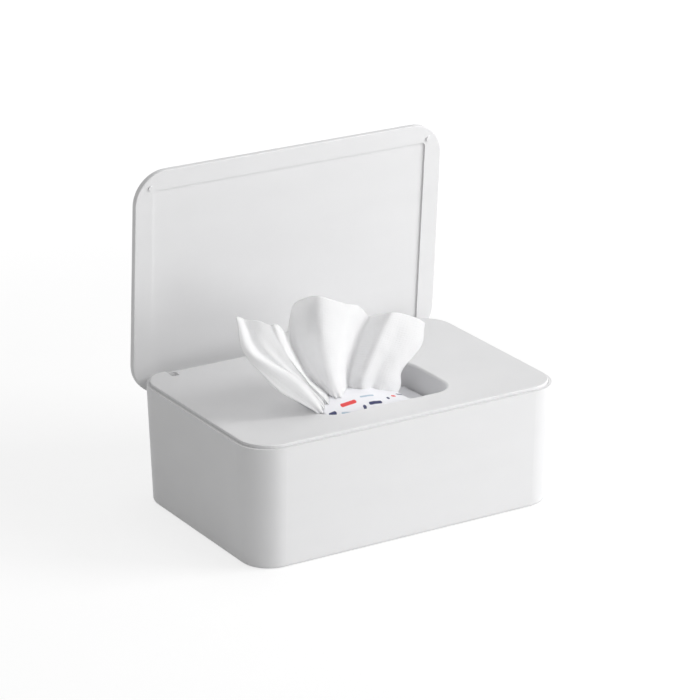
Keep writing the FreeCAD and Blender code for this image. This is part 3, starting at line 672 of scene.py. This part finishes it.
class FilmOperator(bpy.types.Operator):
    """Make the refill pack's printed film"""
    bl_idname = "wipes_box.film"
    bl_label = "Make the refill film"

    def execute(self, context):
        settings = context.scene.wipes_box.film
        piece = new_piece("refill_film", film_shape(settings), printed_film(settings),
                          "body", "pack_film", "film_pouch")
        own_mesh(piece)
        return {"FINISHED"}


class StackOperator(bpy.types.Operator):
    """Make the folded wipes inside the pack"""
    bl_idname = "wipes_box.stack"
    bl_label = "Make the folded wipes"

    def execute(self, context):
        settings = context.scene.wipes_box
        piece = new_piece("folded_wipes", stack_shape(settings.stack), nonwoven(settings.wipe),
                          "body", "nonwoven", "wipe_stack")
        return {"FINISHED"}


class WipeOperator(bpy.types.Operator):
    """Make the wipe that stands up out of the opening"""
    bl_idname = "wipes_box.wipe"
    bl_label = "Make the pulled wipe"

    def execute(self, context):
        settings = context.scene.wipes_box.wipe
        piece = new_piece("raised_wipe", wipe_shape(settings), nonwoven(settings),
                          "wipe", "nonwoven", "pulled_wipe")
        wall = piece.modifiers.new("cloth", "SOLIDIFY")
        wall.thickness = settings.cloth
        wall.offset = 0
        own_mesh(piece)
        return {"FINISHED"}


class StudioOperator(bpy.types.Operator):
    """Set up the pale floor, the soft light and the camera"""
    bl_idname = "wipes_box.studio"
    bl_label = "Set up the studio"

    def execute(self, context):
        settings = context.scene.wipes_box.studio
        make_floor()
        make_room(context.scene, settings.ambient)
        make_lamp("key_lamp", *KEY_LAMP, settings.key_power)
        make_lamp("front_lamp", *FRONT_LAMP, settings.front_power)
        make_lamp("top_lamp", *TOP_LAMP, settings.top_power)
        make_camera(context.scene, settings)
        context.scene.view_settings.view_transform = "Standard"
        return {"FINISHED"}


def seen_directly(tree):
    """1 for a ray from the camera, or one that gloss or glass sends on, and 0 for others."""
    rays = tree.nodes.new("ShaderNodeLightPath")
    seen = rays.outputs["Is Camera Ray"]
    for name in ("Is Glossy Ray", "Is Transmission Ray"):
        either = tree.nodes.new("ShaderNodeMath")
        either.operation = "MAXIMUM"
        tree.links.new(seen, either.inputs[0])
        tree.links.new(rays.outputs[name], either.inputs[1])
        seen = either.outputs[0]
    return seen


def make_floor():
    """A large pale floor that keeps the box's shadow."""
    shape = bmesh.new()
    bmesh.ops.create_grid(shape, x_segments=1, y_segments=1, size=FLOOR_HALF)
    shader = Shader("pale_floor")
    place = shader.place()
    x, y, _ = shader.axes(place)
    distance = (x * x + y * y).root()
    mottle = shader.noise(place, 1 / (30 * MM), detail=3.0)
    shader.set(
        base_color=shader.mix(mottle, FLOOR_LIGHT, FLOOR_SHADE),
        roughness=0.9,
        specular_ior_level=0.1,
    )
    glow = shader.tree.nodes.new("ShaderNodeEmission")
    glow.inputs["Strength"].default_value = FLOOR_GLOW
    seen = Value(shader, seen_directly(shader.tree))
    share = seen * (distance.ramp(GLOW_START, GLOW_END) * GLOW_GAIN + GLOW_NEAR)
    white = shader.add("ShaderNodeMixShader", {}, share)
    shader.tree.links.new(shader.surface.outputs[0], white.socket.node.inputs[1])
    shader.tree.links.new(glow.outputs[0], white.socket.node.inputs[2])
    shader.tree.links.new(white.socket, shader.tree.nodes["Material Output"].inputs[0])
    mesh = bpy.data.meshes.new("floor")
    shape.to_mesh(mesh)
    shape.free()
    mesh.materials.append(shader.material)
    floor = bpy.data.objects.new("floor", mesh)
    bpy.context.scene.collection.objects.link(floor)


def make_room(scene, ambient):
    """A room that lights softly and looks white."""
    world = bpy.data.worlds.new("pale_room")
    world.use_nodes = True
    scene.world = world
    tree = world.node_tree
    strength = tree.nodes.new("ShaderNodeMapRange")
    strength.inputs["To Min"].default_value = ambient
    tree.links.new(seen_directly(tree), strength.inputs["Value"])
    tree.nodes["Background"].inputs["Color"].default_value = (1, 1, 1, 1)
    tree.links.new(strength.outputs["Result"], tree.nodes["Background"].inputs["Strength"])


def make_lamp(name, place, size, power):
    lamp = bpy.data.lights.new(name, "AREA")
    lamp.size = size
    lamp.energy = power
    holder = bpy.data.objects.new(name, lamp)
    holder.location = place
    middle = Vector((0, 0, deck_high.z))
    holder.rotation_euler = (middle - holder.location).to_track_quat("-Z", "Y").to_euler()
    bpy.context.scene.collection.objects.link(holder)


def make_camera(scene, settings):
    lens = bpy.data.cameras.new("camera")
    lens.lens = settings.lens
    lens.sensor_width = SENSOR_WIDTH
    lens.clip_end = 20
    camera = bpy.data.objects.new("camera", lens)
    back = towards_camera(settings.azimuth, settings.elevation)
    camera.location = Vector(settings.aim) + back * settings.distance
    camera.rotation_euler = (-back).to_track_quat("-Z", "Y").to_euler()
    scene.collection.objects.link(camera)
    scene.camera = camera


class WipesBoxPanel(bpy.types.Panel):
    """The steps that dress the wipes box"""
    bl_idname = "VIEW3D_PT_wipes_box"
    bl_label = "Wipes box"
    bl_space_type = "VIEW_3D"
    bl_region_type = "UI"
    bl_category = "Wipes box"

    def draw(self, context):
        for step in STEPS:
            self.layout.operator(step.bl_idname)
        for group in ("moulding", "film", "stack", "wipe", "studio"):
            settings = getattr(context.scene.wipes_box, group)
            box = self.layout.box()
            for name in settings.bl_rna.properties.keys():
                if name not in ("rna_type", "name"):
                    box.prop(settings, name)


STEPS = (MouldingOperator, FilmOperator, StackOperator, WipeOperator, StudioOperator)
CLASSES = (MouldingSettings, FilmSettings, StackSettings, WipeSettings, StudioSettings,
           WipesBoxSettings, *STEPS, WipesBoxPanel)


def register():
    for item in CLASSES:
        bpy.utils.register_class(item)
    bpy.types.Scene.wipes_box = PointerProperty(type=WipesBoxSettings)


def unregister():
    del bpy.types.Scene.wipes_box
    for item in reversed(CLASSES):
        bpy.utils.unregister_class(item)


def main():
    register()
    bpy.ops.wipes_box.mouldings()
    bpy.ops.wipes_box.film()
    bpy.ops.wipes_box.stack()
    bpy.ops.wipes_box.wipe()
    bpy.ops.wipes_box.studio()


if __name__ == "__main__":
    main()
